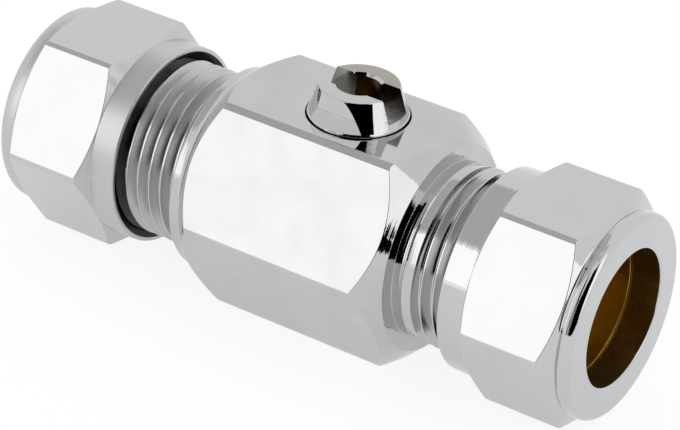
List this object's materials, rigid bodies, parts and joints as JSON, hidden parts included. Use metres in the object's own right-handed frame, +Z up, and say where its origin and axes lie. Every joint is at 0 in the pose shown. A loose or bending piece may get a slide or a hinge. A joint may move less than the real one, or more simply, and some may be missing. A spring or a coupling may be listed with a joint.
{
  "type": "inline isolating valve",
  "caption": "Chrome-plated inline ball valve with a hexagonal body, a slotted quarter-turn stem and a compression nut with olive at each end for copper tube.",
  "frame": {"origin": "on the bottom flat of the hexagonal body, straight under the stem", "axes": "+X along the pipe towards the fixed spigot, +Z up along the stem, +Y completes the right-handed frame"},
  "size_m": [0.0733, 0.0284, 0.0286],
  "materials": {
    "chrome": "bright chrome plate on turned brass, bores left as bare brass",
    "brass": "bare turned brass",
    "seat_plastic": "smooth white fluoropolymer",
    "seal_rubber": "smooth black nitrile rubber"
  },
  "bodies": {
    "housing": {"valve_body": "chrome", "end_piece": "chrome", "left_seat_ring": "seat_plastic", "right_seat_ring": "seat_plastic", "stem_washer": "seat_plastic"},
    "spindle": {"stem": "chrome", "ball": "chrome", "stem_o_ring": "seal_rubber"},
    "right_slider": {"right_olive": "brass"},
    "right_screw": {"right_nut": "chrome"},
    "left_slider": {"left_olive": "brass"},
    "left_screw": {"left_nut": "chrome"}
  },
  "joints": [
    {"name": "stem_turn", "type": "hinge", "parent": "housing", "child": "spindle", "pos_m": [0, 0, 0.0125], "axis": [0, 0, 1], "continuous": true},
    {"name": "right_nut_travel", "type": "slide", "parent": "housing", "child": "right_slider", "axis": [1, 0, 0], "range_m": [0, 0.0045]},
    {"name": "right_nut_turn", "type": "hinge", "parent": "right_slider", "child": "right_screw", "pos_m": [0.0256, 0, 0.0125], "axis": [1, 0, 0], "range_deg": [0, 1079]},
    {"name": "left_nut_travel", "type": "slide", "parent": "housing", "child": "left_slider", "axis": [-1, 0, 0], "range_m": [-0.00213, 0.00226]},
    {"name": "left_nut_turn", "type": "hinge", "parent": "left_slider", "child": "left_screw", "pos_m": [-0.0317, 0, 0.0125], "axis": [-1, 0, 0], "range_deg": [-510, 540]}
  ],
  "couplings": [
    {"joint": "right_nut_travel", "follows": "right_nut_turn", "m_per_rad": 0.00023873},
    {"joint": "left_nut_travel", "follows": "left_nut_turn", "m_per_rad": 0.00023873}
  ]
}
